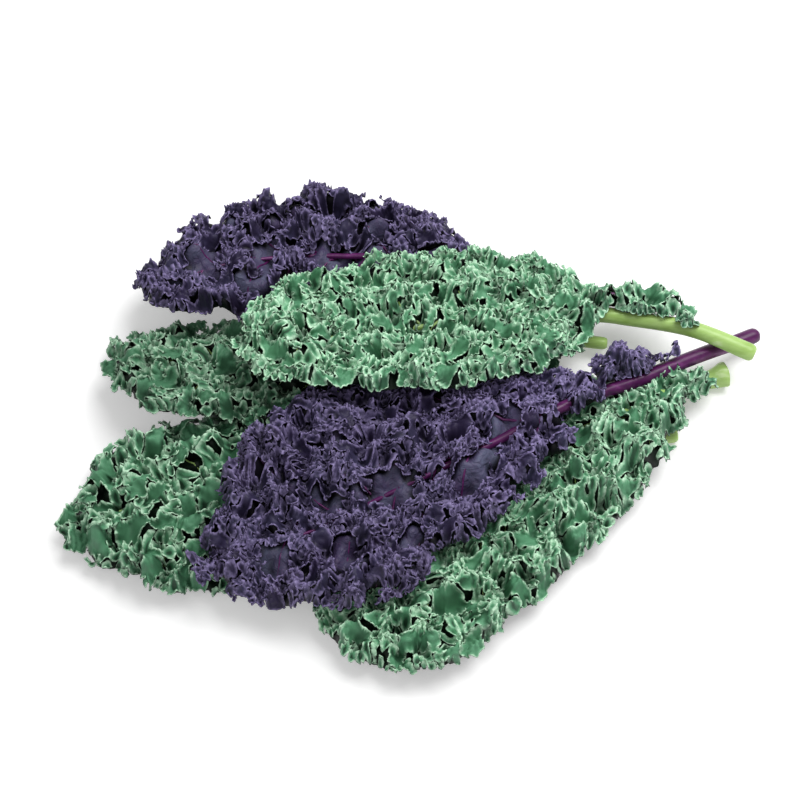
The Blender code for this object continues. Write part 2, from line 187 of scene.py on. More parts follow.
# The leaves from the bottom of the heap to the top, as the solids lay them
LEAVES = (
    Leaf(
        "lower_left_green_leaf",
        [
            (0.163, -0.014), (0.096, -0.018), (0.0, -0.028), (-0.084, -0.040),
            (-0.150, -0.056), (-0.207, -0.076),
        ],
        [
            (0.30, 0.015, 0.015), (0.43, 0.050, 0.050), (0.59, 0.062, 0.056), (0.77, 0.067, 0.051),
            (0.85, 0.063, 0.048), (0.92, 0.047, 0.035), (0.955, 0.032, 0.022), (0.985, 0.012, 0.010),
        ],
        fold=0.0056,
        broad_fold=0.0150,
        broad=0.55,
        seed=3,
    ),
    Leaf(
        "lower_right_green_leaf",
        [
            (0.195, 0.026), (0.168, 0.018), (0.140, 0.000), (0.096, -0.038),
            (0.048, -0.080), (0.0, -0.116), (-0.050, -0.143),
        ],
        [
            (0.03, 0.006, -0.001), (0.045, 0.014, 0.002), (0.08, 0.018, 0.010), (0.11, 0.018, 0.018),
            (0.14, 0.023, 0.023), (0.21, 0.033, 0.031), (0.31, 0.042, 0.040),
            (0.50, 0.048, 0.048), (0.70, 0.053, 0.050), (0.83, 0.057, 0.048), (0.91, 0.045, 0.042),
            (0.97, 0.028, 0.028), (1.0, 0.012, 0.014),
        ],
        broad=0.34,
        blade_start=0.10,
        cut_flare=0.8,
        shade=1.12,
        seed=5,
    ),
    Leaf(
        "upper_left_green_leaf",
        [
            (0.124, 0.048), (0.090, 0.052), (0.030, 0.044), (-0.060, 0.034),
            (-0.126, 0.034), (-0.184, 0.042),
        ],
        [
            (0.05, 0.010, 0.004), (0.12, 0.023, 0.012), (0.20, 0.030, 0.022), (0.35, 0.045, 0.040),
            (0.50, 0.050, 0.044), (0.72, 0.046, 0.038), (0.80, 0.046, 0.037), (0.89, 0.045, 0.032),
            (0.95, 0.033, 0.024), (1.0, 0.014, 0.012),
        ],
        fold=0.0050,
        broad=0.40,
        height=0.019,
        shade=0.80,
        blade_start=0.08,
        seed=8,
    ),
    Leaf(
        "back_purple_leaf",
        [
            (0.170, 0.079), (0.120, 0.084), (0.060, 0.094), (0.0, 0.106),
            (-0.060, 0.110), (-0.108, 0.101), (-0.163, 0.076),
        ],
        [
            (0.34, 0.008, 0.010), (0.46, 0.038, 0.038), (0.57, 0.044, 0.047), (0.70, 0.048, 0.055),
            (0.74, 0.046, 0.050), (0.84, 0.046, 0.047), (0.91, 0.039, 0.034), (0.96, 0.028, 0.022),
            (1.0, 0.014, 0.010),
        ],
        fold=0.0042,
        broad=0.34,
        blade_start=0.34,
        open=0.46,
        lobing=0.0052,
        seed=13,
    ),
    Leaf(
        "front_purple_leaf",
        [
            (0.217, 0.052), (0.180, 0.034), (0.144, 0.014), (0.114, -0.002), (0.072, -0.025),
            (0.030, -0.046), (-0.006, -0.063), (-0.048, -0.082), (-0.084, -0.096), (-0.124, -0.112),
        ],
        [
            (0.13, -0.002, -0.002), (0.14, -0.001, 0.010), (0.155, -0.001, 0.010), (0.16, -0.002, -0.001),
            (0.17, -0.002, 0.017), (0.185, -0.002, 0.018), (0.195, -0.002, 0.004), (0.205, -0.001, 0.022),
            (0.24, 0.003, 0.031), (0.275, 0.004, 0.028), (0.295, 0.002, 0.012), (0.31, 0.004, 0.022),
            (0.335, 0.008, 0.036), (0.38, 0.018, 0.050),
            (0.43, 0.028, 0.060), (0.57, 0.044, 0.080), (0.65, 0.050, 0.085), (0.73, 0.062, 0.083),
            (0.79, 0.058, 0.077), (0.85, 0.046, 0.067), (0.91, 0.036, 0.048), (0.95, 0.024, 0.028),
            (0.985, 0.008, 0.010),
        ],
        fold=0.0040,
        broad=0.22,
        blade_start=0.25,
        open=0.20,
        shade=0.95,
        faded=0.30,
        coarse=1.22,
        lobing=0.0036,
        seed=41,
    ),
    Leaf(
        "top_green_leaf",
        [
            (0.211, 0.029), (0.174, 0.046), (0.138, 0.056), (0.114, 0.060),
            (0.072, 0.058), (0.030, 0.052), (-0.030, 0.042), (-0.099, 0.022),
        ],
        [
            (0.11, -0.002, -0.002), (0.125, 0.003, 0.008), (0.145, 0.006, 0.012), (0.155, 0.001, 0.016),
            (0.18, 0.001, 0.022), (0.24, 0.001, 0.023), (0.285, 0.001, 0.019), (0.305, 0.006, 0.017),
            (0.325, 0.018, 0.024), (0.36, 0.032, 0.037), (0.44, 0.045, 0.046),
            (0.57, 0.057, 0.050), (0.69, 0.053, 0.056), (0.80, 0.046, 0.052), (0.90, 0.039, 0.042),
            (0.96, 0.030, 0.030), (1.0, 0.016, 0.016),
        ],
        height=0.018,
        broad=0.28,
        blade_start=0.33,
        shade=1.17,
        seed=34,
    ),
)


def smooth(value, low, high):
    """0 below low, 1 above high, and a soft step between."""
    t = np.clip((value - low) / (high - low), 0, 1)
    return t * t * (3 - 2 * t)


def short_runs(places):
    """The places in runs that stay in the processor's cache."""
    return np.array_split(places, len(places) // 5000 + 1)


class Waves:
    """Smooth noise of about -1.5 to 1.5, made of plane waves of nearly one length."""

    def __init__(self, seed, length, spread=0.22, count=30):
        draw = np.random.default_rng(seed)
        angle = draw.uniform(0, 2 * np.pi, count)
        size = 2 * np.pi / (length * (1 + spread * draw.uniform(-1, 1, count)))
        self.wave = np.stack([np.cos(angle), np.sin(angle)]) * size
        self.phase = draw.uniform(0, 2 * np.pi, count)
        self.share = math.sqrt(2 / count)

    def at(self, places):
        heights = [np.cos(run @ self.wave + self.phase).sum(axis=1) for run in short_runs(places)]
        return np.concatenate(heights) * self.share

    def slope(self, places):
        """The noise's steepest way up, in units of noise for each metre."""
        slopes = [np.sin(run @ self.wave + self.phase) @ self.wave.T for run in short_runs(places)]
        return -np.concatenate(slopes) * self.share


class Map:
    """A value for each cell of the ground under the bunch, read with soft edges between the cells."""

    low = np.array(CAD_BOX[0][:2]) - MAP_ROOM
    shape = tuple(np.ceil((np.array(CAD_BOX[1][:2]) + MAP_ROOM - low) / CELL).astype(int) + 2)

    def __init__(self, value):
        self.value = np.full(self.shape, value, float) if np.isscalar(value) else value

    @classmethod
    def spots(cls):
        """The place of every cell."""
        return np.argwhere(np.ones(cls.shape)) * CELL + cls.low

    def at(self, places):
        where = np.clip((places - self.low) / CELL, 0, np.array(self.shape) - 1.001)
        cell = where.astype(int)
        s, t = (where - cell).T
        i, j = cell.T
        v = self.value
        near = v[i, j] * (1 - s) + v[i + 1, j] * s
        far = v[i, j + 1] * (1 - s) + v[i + 1, j + 1] * s
        return near * (1 - t) + far * t

    def blurred(self, cells):
        v = self.value
        for axis in (0, 1):
            v = sum(np.roll(v, k, axis) for k in range(-cells, cells + 1)) / (2 * cells + 1)
        return Map(v)

    def lowest(self, steps, rise=0.0):
        """The lowest value round each cell, each step away adding a rise."""
        v = self.value
        round_it = [(i, j) for i in (-1, 0, 1) for j in (-1, 0, 1)]
        for _ in range(steps):
            v = np.minimum.reduce([np.roll(v, by, (0, 1)) + rise * math.hypot(*by) for by in round_it])
        return Map(v)


def vertex_places(mesh):
    places = np.empty(len(mesh.vertices) * 3)
    mesh.vertices.foreach_get("co", places)
    return places.reshape(-1, 3)


def surface_points(node, spread=0.0012):
    """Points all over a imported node's faces, close enough together to leave no cell out."""
    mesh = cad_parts[node].data
    mesh.calc_loop_triangles()
    faces = np.empty(len(mesh.loop_triangles) * 3, np.int32)
    mesh.loop_triangles.foreach_get("vertices", faces)
    corners = vertex_places(mesh)[faces.reshape(-1, 3)]
    longest = np.linalg.norm(corners - np.roll(corners, 1, axis=1), axis=2).max()
    steps = max(2, math.ceil(longest / spread))
    found = []
    for i in range(steps + 1):
        for j in range(steps + 1 - i):
            weights = np.array([i, j, steps - i - j]) / steps
            found.append(np.einsum("k,nkd->nd", weights, corners))
    return np.concatenate(found)


def inside_outline(leaf):
    """Which cells of the ground lie under a leaf's outline."""
    share = np.linspace(0, 1, len(leaf.line))
    kept = share >= leaf.widths[0, 0]
    side = across(leaf.line)
    near, far = read_along(share, leaf.widths[:, 0], leaf.widths[:, 1:]).T[:, :, None]
    ring = np.concatenate([(leaf.line + side * near)[kept], (leaf.line - side * far)[kept][::-1]])
    x, y = Map.spots().T
    crossings = np.zeros(len(x), int)
    for (x1, y1), (x2, y2) in zip(ring, np.roll(ring, -1, axis=0)):
        if y1 != y2:
            crossings += ((y1 > y) != (y2 > y)) & (x < (x2 - x1) * (y - y1) / (y2 - y1) + x1)
    return (crossings % 2 == 1).reshape(Map.shape)


class Ground:
    """Where a blade lies: the height of its underside, and how far inside its outline each place is."""

    def __init__(self, leaf):
        points = surface_points(leaf.name + "_blade")
        cells = ((points[:, :2] - Map.low) / CELL).round().astype(int)
        lowest = np.full(Map.shape, FAR)
        np.minimum.at(lowest, tuple(cells.T), points[:, 2])
        self.inside = inside_outline(leaf)
        self.floor = self.filled(lowest)
        self.depth = self.distance(self.inside).blurred(1)
        runs = np.array_split(Map.spots(), 20)
        away = [np.linalg.norm(run[:, None] - leaf.line[None], axis=2).min(axis=1) for run in runs]
        self.away = Map(np.concatenate(away).reshape(Map.shape))  # metres to the leaf's midrib

    @staticmethod
    def filled(lowest):
        """The floor's height, carried on past the outline and made smooth."""
        known = lowest < FAR
        total = np.where(known, lowest, 0.0)
        weight = known.astype(float)
        for reach in (2, 2, 4, 12):
            total_wide = Map(total).blurred(reach).value
            weight_wide = Map(weight).blurred(reach).value
            fresh = (weight < 1e-6) & (weight_wide > 1e-6)
            total = np.where(fresh, total_wide, total)
            weight = np.where(fresh, weight_wide, weight)
        height = total / np.maximum(weight, 1e-6)
        return Map(height).blurred(2).blurred(2)

    @staticmethod
    def distance(inside):
        """Metres to the outline, above 0 inside it and below 0 outside."""
        inward = Map(np.where(inside, FAR, 0.0)).lowest(60, CELL).value
        outward = Map(np.where(inside, 0.0, FAR)).lowest(16, CELL).value
        return Map(np.minimum(inward, 0.1) - np.minimum(outward, 0.1))


def lattice(low, high, step):
    """Points of a triangular lattice over a rectangle, and its triangles."""
    columns = int((high[0] - low[0]) / step) + 2
    rows = int((high[1] - low[1]) / (step * ROW)) + 2
    j, i = np.mgrid[0:rows, 0:columns]
    points = np.stack([low[0] + (i + 0.5 * (j % 2)) * step, low[1] + j * step * ROW], axis=-1)
    number = j * columns + i
    a, b, c, d = number[:-1, :-1], number[:-1, 1:], number[1:, :-1], number[1:, 1:]
    even = (j[:-1, :-1] % 2 == 0)[..., None]
    first = np.where(even, np.stack([a, b, c], -1), np.stack([a, b, d], -1))
    second = np.where(even, np.stack([b, d, c], -1), np.stack([a, d, c], -1))
    return points.reshape(-1, 2), np.concatenate([first.reshape(-1, 3), second.reshape(-1, 3)])


def odd_one_first(faces, odd):
    """The faces, each turned so that its odd corner comes first."""
    order = (odd.argmax(axis=1)[:, None] + np.arange(3)) % 3
    return np.take_along_axis(faces, order, axis=1)


def without_crumbs(count, faces, least=24):
    """The faces without the tiny loose bits that a cut leaves."""
    label = np.arange(count)
    for _ in range(30):
        np.minimum.at(label, faces.ravel(), np.repeat(label[faces].min(axis=1), 3))
        label = label[label]
    sizes = np.bincount(label, minlength=count)
    return faces[sizes[label[faces[:, 0]]] >= least]


def cut_at_zero(values, faces):
    """Keeps the triangles where the values are above 0, and cuts them exactly where they are 0.

    Gives the points kept as mixes of two old points, first * (1 - mix) + second * mix, and faces.
    """
    inside = values > 0
    count = inside[faces].sum(axis=1)
    whole, one, two = (faces[count == n] for n in (3, 1, 2))
    one = odd_one_first(one, inside[one])
    two = odd_one_first(two, ~inside[two])
    edges = np.concatenate([one[:, [0, 1]], one[:, [0, 2]], two[:, [1, 0]], two[:, [2, 0]]])
    keys = edges[:, 0].astype(np.int64) * len(values) + edges[:, 1]
    unique, place = np.unique(keys, return_inverse=True)
    start, end = unique // len(values), unique % len(values)
    cut = len(values) + place
    one_b, one_c, two_b, two_c = np.split(cut, np.cumsum([len(one), len(one), len(two)]))
    made = np.concatenate(
        [
            whole,
            np.stack([one[:, 0], one_b, one_c], axis=1),
            np.stack([two_b, two[:, 1], two[:, 2]], axis=1),
            np.stack([two_b, two[:, 2], two_c], axis=1),
        ]
    )
    old = np.arange(len(values))
    first = np.concatenate([old, start])
    second = np.concatenate([old, end])
    mix = np.concatenate([np.zeros(len(values)), values[start] / (values[start] - values[end])])
    used, made = np.unique(without_crumbs(len(first), made), return_inverse=True)
    return first[used], second[used], mix[used], made.reshape(-1, 3)


def softened_least(values, softness):
    """The least of several fields, rounded off where two of them cross."""
    stack = np.stack(values) / softness
    lowest = stack.min(axis=0)
    return softness * (lowest - np.log(np.exp(lowest - stack).sum(axis=0)))


class Margin:
    """The fields that shape one leaf's ruffles and lamina over its ground."""

    def __init__(self, leaf, ground, ceiling, cover, settings):
        self.leaf = leaf
        self.ground = ground
        self.ceiling = ceiling
        self.cover = cover
        self.settings = settings
        # Each noise has a seed of its own, then the length of its waves
        self.folds = Waves(leaf.seed, leaf.fold)
        self.frill = Waves(leaf.seed + 1, leaf.fold * 0.6)
        self.lumps = Waves(leaf.seed + 2, 0.015)
        self.swell = Waves(leaf.seed + 3, 0.034)
        self.patches = Waves(leaf.seed + 4, 0.026)
        self.drift = Waves(leaf.seed + 5, 0.022), Waves(leaf.seed + 6, 0.022)
        self.leaning = Waves(leaf.seed + 7, 0.018), Waves(leaf.seed + 8, 0.018)
        self.broad_folds = Waves(leaf.seed + 9, leaf.broad_fold)
        self.lobes = Waves(leaf.seed + 10, 0.030)
        self.windows = Waves(leaf.seed + 11, 0.038)
        self.creases = Waves(leaf.seed + 12, 0.0065)

    def wound(self, places):
        """The places, moved so that the folds wind."""
        return places + WINDING * np.stack([wave.at(places) for wave in self.drift], axis=1)

    def breadth(self, places):
        """0 where the margin is crowded into fine frills, 1 where it opens into broad sheets."""
        level = 1.35 - 2.4 * self.leaf.broad
        return smooth(self.patches.at(places) + 0.3 * self.lumps.at(places) - level, -0.35, 0.35)

    def fold_length(self, breadth):
        return self.leaf.fold + (self.leaf.broad_fold - self.leaf.fold) * breadth

    def fold(self, wound, breadth):
        """Metres to the nearest rim, above 0 on the sheets and below 0 in the gaps."""
        fine = self.folds.at(wound) + 0.2 * self.frill.at(wound)
        broad = self.broad_folds.at(wound) + 0.25 * self.folds.at(wound) + 0.5
        value = fine * (1 - breadth) + broad * breadth + self.settings.fullness
        return value * self.fold_length(breadth) / (2 * np.pi)

    def inward(self, places):
        """Metres inside the blade's lobed outline."""
        lobed = self.leaf.lobing * (self.lobes.at(places) + 0.6 * self.lumps.at(places))
        lobed = np.minimum(lobed, 0.5 * self.leaf.lobing) + 0.0006 * self.frill.at(places)
        return self.ground.depth.at(places) + lobed

    def openness(self, places):
        """Metres into a patch of smooth lamina, below 0 under the ruffles."""
        if not self.leaf.open:
            return np.full(len(places), -FAR)
        beside_midrib = np.exp(-((self.ground.away.at(places) / MIDRIB_REACH) ** 2))
        value = self.windows.at(places) + 0.35 * self.lumps.at(places) + 0.15 * self.frill.at(places)
        value -= 4 * (1 - smooth(self.ground.depth.at(places), 0.008, 0.020))
        return (value + 1.1 * beside_midrib - (2.0 - 2.2 * self.leaf.open)) * 0.005

    def room(self, places):
        """The height that the leaves above leave free."""
        return self.ceiling.at(places) - self.ground.floor.at(places) - LEAF_GAP

    def body(self, places, inward, lumpy=1.0):
        """How high the ruffles stand over the blade's underside."""
        rounded = smooth(inward, -0.006, 0.012)
        lumps = 0.80 + 0.17 * lumpy * self.lumps.at(places) + 0.13 * self.swell.at(places)
        wanted = 0.003 + self.leaf.height * rounded * np.clip(lumps, 0.30, 1.15)
        return np.maximum(0.002, softened_least([wanted, self.room(places)], 0.002))

    def ruffles(self, low, high):
        """The points, faces and attributes of the ruffled margin."""
        leaf, settings = self.leaf, self.settings
        places, faces = lattice(low, high, settings.step * leaf.coarse)
        wanted = (self.ground.depth.at(places) > -0.004) & (self.room(places) > HIDDEN_ROOM)
        wanted &= self.cover.at(places) < HIDDEN_DEPTH
        used, faces = np.unique(faces[wanted[faces].all(axis=1)], return_inverse=True)
        places, faces = places[used], faces.reshape(-1, 3)
        inward = self.inward(places)
        breadth = self.breadth(places)
        fields = [self.fold(self.wound(places), breadth), inward, -self.openness(places)]
        field = softened_least(fields, 0.0003)
        first, second, mix, faces = cut_at_zero(field, faces)
        places, inward, field, breadth = (
            mixed(value, first, second, mix) for value in (places, inward, field, breadth)
        )
        field = np.maximum(0, field)
        length = self.fold_length(breadth)
        up = self.body(places, inward)
        full = np.minimum(1, up / FULL_RUFFLE)
        rim = np.exp(-field / (0.16 * length))  # 1 at the rim, towards 0 in the trough
        wound = self.wound(places)
        depth = settings.trough * (0.75 * leaf.fold + 0.25 * length)
        z = self.ground.floor.at(places) + up - depth * full * (1 - rim)
        z += RIM_WAVE * self.frill.at(wound) * full * rim
        # The way up to the nearest rim, with both noises' slopes brought to one size
        uphill = self.folds.slope(wound) / leaf.broad_fold * (1 - breadth)[:, None]
        uphill += self.broad_folds.slope(wound) / leaf.fold * breadth[:, None]
        uphill /= np.maximum(np.linalg.norm(uphill, axis=1), 1e-9)[:, None]
        leaning = np.stack([wave.at(places) for wave in self.leaning], axis=1)
        reach = (leaf.fold * full * rim**1.5)[:, None]
        places = places + (leaning * settings.lean - uphill * settings.flare) * reach
        near_rim = np.minimum(field * 1000, 1.35 - 0.5 * breadth)  # broad sheets get no painted shade in their hollows
        return np.column_stack([places, z]), faces, near_rim, rim * full, 0 * z

    def lamina(self, low, high):
        """The points, faces and attributes of the broad sheet under the ruffles."""
        places, faces = lattice(low, high, LAMINA_STEP)
        inward = self.inward(places)
        first, second, mix, faces = cut_at_zero(inward - LAMINA_INSET, faces)
        places, inward = (mixed(value, first, second, mix) for value in (places, inward))
        opened = smooth(self.openness(places), -0.0020, 0.0010)
        points = np.column_stack([places, self.lamina_height(places, inward)])
        # Far from any rim, so where the lamina isn't open it takes the painted hollow shade
        return points, faces, FAR_FROM_RIM + 0 * inward, 0 * inward, opened

    def lamina_height(self, places, inward):
        """The lamina lies far down under the ruffles and rises into its open patches."""
        leaf = self.leaf
        up = self.body(places, inward)
        fold = 0.75 * leaf.fold + 0.25 * self.fold_length(self.breadth(places))
        covered = np.maximum(0.2 * up, up - (self.settings.trough + 0.7) * fold)
        waved = CREASE * self.creases.at(places) + 0.0003 * self.frill.at(places)
        raised = np.maximum(covered, self.body(places, inward, 0.4) - 1.5 * leaf.fold + waved)
        opened = smooth(self.openness(places), -0.0090, 0.0040)
        return self.ground.floor.at(places) + covered + (raised - covered) * opened


def mixed(value, first, second, mix):
    """Mixes old points' values into those of the points that cut_at_zero kept."""
    return (value[first].T * (1 - mix) + value[second].T * mix).T


def sheets(margin):
    """The points, faces and attributes of a leaf's ruffles and lamina."""
    spots = np.argwhere(margin.ground.inside) * CELL + Map.low
    low, high = spots.min(axis=0) - MAP_ROOM, spots.max(axis=0) + MAP_ROOM
    parts = margin.ruffles(low, high), margin.lamina(low, high)
    points = np.concatenate([part[0] for part in parts])
    faces = np.concatenate([parts[0][1], parts[1][1] + len(parts[0][0])])
    names = "from_rim", "ruffle", "open"
    attributes = {name: np.concatenate([part[k] for part in parts]) for k, name in enumerate(names, 2)}
    valleys = smooth(-margin.lumps.at(points[:, :2]), 0.4, 1.5)
    attributes["shade"] = margin.leaf.shade * (1.06 - 0.5 * valleys)  # little light falls in there
    attributes["shade"] *= 1 + margin.leaf.faded * smooth(points[:, 0], 0.0, 0.08)
    return points, faces, attributes


def stalk_rings(leaf):
    """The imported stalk's middle height and half width at even shares of the leaf's line."""
    places = vertex_places(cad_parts[leaf.name + "_stalk"].data)
    nearest = np.linalg.norm(places[:, None, :2] - leaf.line[None], axis=2).argmin(axis=1)
    rings = []
    for station in np.unique(nearest // 4):
        here = nearest // 4 == station
        low, high = places[here, 2].min(), places[here, 2].max()
        rings.append((nearest[here].mean() / (len(leaf.line) - 1), (low + high) / 2, (high - low) / 2))
    return np.array(rings).T


def stalk_course(margin):
    """The points and radii of the stalk, which runs on as the midrib to near the tip."""
    leaf = margin.leaf
    share, middle, half = stalk_rings(leaf)
    at = np.concatenate([(0, 0.002, 0.005, 0.009), np.linspace(0.014, MIDRIB_END, 106)])
    even = np.linspace(0, 1, len(leaf.line))
    line = read_along(at, even, leaf.line)
    into_blade = np.clip((at - leaf.blade_start) / (MIDRIB_END - leaf.blade_start), 0, 1)
    radius = MIDRIB_TIP + (half[:3].max() - MIDRIB_TIP) * (1 - into_blade) ** 1.5
    radius *= 1 + leaf.cut_flare * np.exp(-at / 0.022) + 0.14 * np.exp(-at / 0.08)
    worn = 0.1 if leaf.cut_flare else 0.4
    radius *= 1 - worn * np.exp(-at * leaf.length / 0.0011)  # the cut edge is rounded off
    bare = np.interp(at, share, middle)
    inward = margin.inward(line)
    in_blade = margin.lamina_height(line, inward) - (0.2 if leaf.purple else 1.2) * radius
    height = bare + (in_blade - bare) * smooth(at, leaf.blade_start, leaf.blade_start + 0.10)
    for _ in range(8):
        height = np.convolve(np.pad(height, 3, mode="edge"), np.ones(7) / 7, mode="valid")
    return np.column_stack([line, np.maximum(height, radius * 1.02)]), radius


def vein_courses(margin):
    """Side veins that fan out from the midrib over the lamina, a pair at each step."""
    leaf = margin.leaf
    side = across(leaf.line)
    steps = np.arange(len(leaf.line))
    t = np.linspace(0, 1, VEIN_POINTS)
    courses = []
    for start in np.arange(leaf.blade_start + 0.04, MIDRIB_END - 0.02, VEIN_STEP):
        for way, column in ((1, 1), (-1, 2)):
            first = start + (0.4 * VEIN_STEP if way < 0 else 0)  # the pairs aren't quite opposite
            reach = np.interp(first + 0.1, leaf.widths[:, 0], leaf.widths[:, column]) * 0.85
            share = first + t**0.8 * reach * VEIN_SLANT / leaf.length
            at = share * steps[-1]
            away = way * reach * t
            places = read_along(at, steps, leaf.line) + read_along(at, steps, side) * away[:, None]
            inward = margin.inward(places)
            radius = (VEIN_BASE - (VEIN_BASE - VEIN_TIP) * t) * (1 - 0.4 * first)
            points = np.column_stack([places, margin.lamina_height(places, inward) + 0.35 * radius])
            keep = np.cumprod((inward > 0.004) & (share < 1)).astype(bool)
            if keep.sum() > 3:
                courses.append((points[keep], radius[keep]))
    return courses


def add_object(name, data):
    made = bpy.data.objects.new(name, data)
    bpy.context.scene.collection.objects.link(made)
    return made


def curve_object(name, courses):
    """One curve object with a poly line for each course of points and radii."""
    curve = bpy.data.curves.new(name, "CURVE")
    curve.dimensions = "3D"
    for points, radius in courses:
        line = curve.splines.new("POLY")
        line.points.add(len(points) - 1)
        line.points.foreach_set("co", np.column_stack([points, np.ones(len(points))]).ravel())
        line.points.foreach_set("radius", radius)
    return add_object(name, curve)


def mesh_object(name, points, faces, material, attributes=None):
    mesh = bpy.data.meshes.new(name)
    mesh.vertices.add(len(points))
    mesh.vertices.foreach_set("co", np.asarray(points, np.float32).ravel())
    mesh.loops.add(3 * len(faces))
    mesh.loops.foreach_set("vertex_index", np.asarray(faces, np.int32).ravel())
    mesh.polygons.add(len(faces))
    mesh.polygons.foreach_set("loop_start", np.arange(0, 3 * len(faces), 3, dtype=np.int32))
    mesh.update(calc_edges=True)
    for key, values in (attributes or {}).items():
        layer = mesh.attributes.new(key, "FLOAT", "POINT")
        layer.data.foreach_set("value", np.asarray(values, np.float32))
    mesh.materials.append(material)
    return add_object(name, mesh)


def add_node(tree, kind, settings=None, **links):
    """Adds a node, sets its properties, and sets or links its inputs by name or number.

    A ramp's stops are given with its properties, as pairs of a place and a hex or linear colour.
    """
    node = tree.nodes.new(kind)
    for key, value in (settings or {}).items():
        if key == "stops":
            set_stops(node.color_ramp.elements, value)
        else:
            setattr(node, key, value)
    for key, value in links.items():
        numbered = key[0] == "_" and key[1:].isdigit()
        socket = node.inputs[int(key[1:]) if numbered else key.replace("_", " ")]
        if isinstance(value, bpy.types.NodeSocket):
            tree.links.new(value, socket)
        else:
            socket.default_value = value
    return node


MULTIPLY = {"operation": "MULTIPLY"}
SCALE = {"operation": "SCALE"}
COLOURS = {"data_type": "RGBA"}


def linear(text):
    """An sRGB hex colour as linear RGBA."""
    parts = [int(text[k : k + 2], 16) / 255 for k in (1, 3, 5)]
    return (*(p / 12.92 if p <= 0.04045 else ((p + 0.055) / 1.055) ** 2.4 for p in parts), 1.0)


def set_stops(elements, stops):
    while len(elements) < len(stops):
        elements.new(0.5)
    for element, (place, colour) in zip(elements, stops):
        element.position = place
        element.color = linear(colour) if isinstance(colour, str) else colour


def painted_downward_shade(add, colour, low, high, least):
    """Painted shade: darkens the colour where the surface turns downwards, as little light comes in under a
    curl.
    """
    normal = add("ShaderNodeNewGeometry").outputs["Normal"]
    up = add("ShaderNodeSeparateXYZ", Vector=normal).outputs["Z"]
    soft = {"interpolation_type": "SMOOTHSTEP"}
    shade = add("ShaderNodeMapRange", soft, Value=up, From_Min=low, From_Max=high, To_Min=least)
    return add("ShaderNodeVectorMath", SCALE, _0=colour, Scale=shade.outputs[0]).outputs[0]


def per(millimetres):
    """The texture scale at which one feature is so many millimetres wide."""
    return 1000 / millimetres


def palette(settings, word):
    """The colours of one kind of part, by what they colour."""
    keys = [key for key in KaleSettings.__annotations__ if key.startswith(word)]
    return {key[len(word) + 1 :]: tuple(getattr(settings, key)) for key in keys}


def new_material(name):
    """A material, its shader, and a function that adds nodes to it."""
    made = bpy.data.materials.new(name)
    made.use_nodes = True
    return made, made.node_tree.nodes["Principled BSDF"], partial(add_node, made.node_tree)


